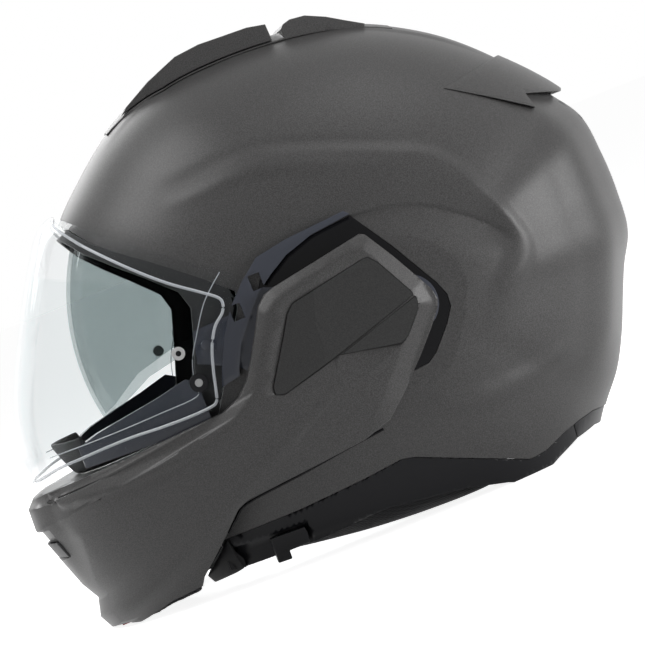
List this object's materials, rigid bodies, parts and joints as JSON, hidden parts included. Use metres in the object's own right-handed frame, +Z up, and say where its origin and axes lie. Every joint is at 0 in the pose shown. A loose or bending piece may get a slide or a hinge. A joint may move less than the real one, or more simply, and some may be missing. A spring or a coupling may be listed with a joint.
{
  "type": "modular motorcycle helmet",
  "caption": "Modular motorcycle helmet with a chin bar that turns over to the rear, a clear face shield, a drop-down sun visor, sliding vents, padded lining and a chin strap",
  "frame": {"origin": "Middle of the underside, on the floor the closed helmet stands on", "axes": "+Z up, the wearer faces -Y, and the wearer's left side is +X"},
  "size_m": [0.2648, 0.3524, 0.2683],
  "materials": {
    "shell_paint": "matte metallic dark grey lacquer with a fine flake",
    "panel_paint": "matte metallic dark grey, a little darker than the shell",
    "vent_black": "satin black moulded plastic",
    "gloss_black": "gloss black",
    "band_gloss": "gloss blue-black",
    "trim_black": "satin black",
    "seal_rubber": "soft matte black",
    "shield_clear": "clear polycarbonate",
    "lens_clear": "clear film",
    "visor_smoke": "grey-green smoke tint",
    "pin_grey": "moulded",
    "foam_black": "fine bead foam",
    "lining_fabric": "knitted",
    "hinge_steel": "turned",
    "button_red": "moulded red",
    "strap_webbing": "woven webbing",
    "buckle_black": "moulded black"
  },
  "bodies": {
    "helmet": {"outer_shell": "shell_paint", "rear_spoiler": "shell_paint", "top_vent_base": "vent_black", "exhaust_grille": "vent_black", "side_base_left": "gloss_black", "side_base_right": "gloss_black", "lower_trim_left": "trim_black", "lower_trim_right": "trim_black", "rear_trim": "trim_black", "front_trim_cap_left": "trim_black", "front_trim_cap_right": "trim_black", "face_seal": "seal_rubber", "crown_foam": "foam_black", "comfort_lining": "lining_fabric", "cheek_pad_left": "lining_fabric", "cheek_pad_right": "lining_fabric", "neck_roll": "lining_fabric", "hinge_pin_left": "hinge_steel", "hinge_pin_right": "hinge_steel", "hinge_washer_left": "hinge_steel", "hinge_washer_right": "hinge_steel", "sun_visor_pin_left": "pin_grey", "sun_visor_pin_right": "pin_grey", "striker_pin_left": "hinge_steel", "striker_pin_right": "hinge_steel", "strap_anchor_left": "hinge_steel", "strap_anchor_right": "hinge_steel", "chin_strap_left": "strap_webbing", "chin_strap_right": "strap_webbing", "buckle_frame": "buckle_black"},
    "chin_bar": {"chin_shell": "shell_paint", "chin_foam": "foam_black", "side_panel_left": "panel_paint", "side_panel_right": "panel_paint", "accent_plate_left": "panel_paint", "accent_plate_right": "panel_paint", "breath_guard": "seal_rubber", "chin_curtain": "lining_fabric", "hook_pin_left": "hinge_steel", "hook_pin_right": "hinge_steel"},
    "shield": {"face_shield": "shield_clear", "shield_arm_left": "band_gloss", "shield_arm_right": "band_gloss", "shield_tab": "trim_black", "fog_lens": "lens_clear", "lens_pin_left": "pin_grey", "lens_pin_right": "pin_grey"},
    "visor": {"sun_visor": "visor_smoke"},
    "visor_lever": {"sun_visor_lever": "trim_black"},
    "top_scoop": {"top_vent_slider": "shell_paint"},
    "chin_shutter": {"chin_vent_slider": "vent_black"},
    "button": {"release_button": "button_red"},
    "hook_left": {"latch_hook_left": "hinge_steel"},
    "hook_right": {"latch_hook_right": "hinge_steel"},
    "buckle": {"buckle_lever": "buckle_black"}
  },
  "joints": [
    {"name": "chin_bar_hinge", "type": "hinge", "parent": "helmet", "child": "chin_bar", "pos_m": [0, 0.0397, 0.105], "axis": [-1, 0, 0], "range_deg": [0, 180]},
    {"name": "shield_hinge", "type": "hinge", "parent": "chin_bar", "child": "shield", "pos_m": [0, 0.0397, 0.105], "axis": [-1, 0, 0], "range_deg": [0, 50]},
    {"name": "sun_visor_hinge", "type": "hinge", "parent": "helmet", "child": "visor", "pos_m": [0, 0.00001, 0.12903], "axis": [-1, 0, 0], "range_deg": [0, 46]},
    {"name": "sun_visor_lever_slide", "type": "slide", "parent": "helmet", "child": "visor_lever", "axis": [-0.5201, -0.8541, 0], "range_m": [0, 0.0101]},
    {"name": "top_vent_slide", "type": "hinge", "parent": "helmet", "child": "top_scoop", "pos_m": [0, -0.004, 0.087], "axis": [-1, 0, 0], "range_deg": [0, 1.2]},
    {"name": "chin_vent_slide", "type": "slide", "parent": "chin_bar", "child": "chin_shutter", "axis": [0, -0.33, 0.944], "range_m": [0, 0.007]},
    {"name": "release_button_press", "type": "slide", "parent": "chin_bar", "child": "button", "axis": [0, 0, 1], "range_m": [0, 0.004], "stiffness_N_per_m": 400, "springref_m": -0.001},
    {"name": "latch_hook_left_hinge", "type": "hinge", "parent": "chin_bar", "child": "hook_left", "pos_m": [0.091, -0.09459, 0.04521], "axis": [-1, 0, 0], "range_deg": [0, 21]},
    {"name": "latch_hook_right_hinge", "type": "hinge", "parent": "chin_bar", "child": "hook_right", "pos_m": [-0.091, -0.09459, 0.04521], "axis": [-1, 0, 0], "range_deg": [0, 21]},
    {"name": "buckle_lever_hinge", "type": "hinge", "parent": "helmet", "child": "buckle", "pos_m": [-0.0033, 0, 0.0158], "axis": [0, -1, 0], "range_deg": [0, 60], "stiffness_Nm_per_rad": 0.02, "springref_deg": -17.19}
  ],
  "couplings": [
    {"joint": "sun_visor_lever_slide", "follows": "sun_visor_hinge", "m_per_rad": 0.0125},
    {"joint": "latch_hook_left_hinge", "follows": "release_button_press", "rad_per_m": 90},
    {"joint": "latch_hook_right_hinge", "follows": "release_button_press", "rad_per_m": 90}
  ]
}
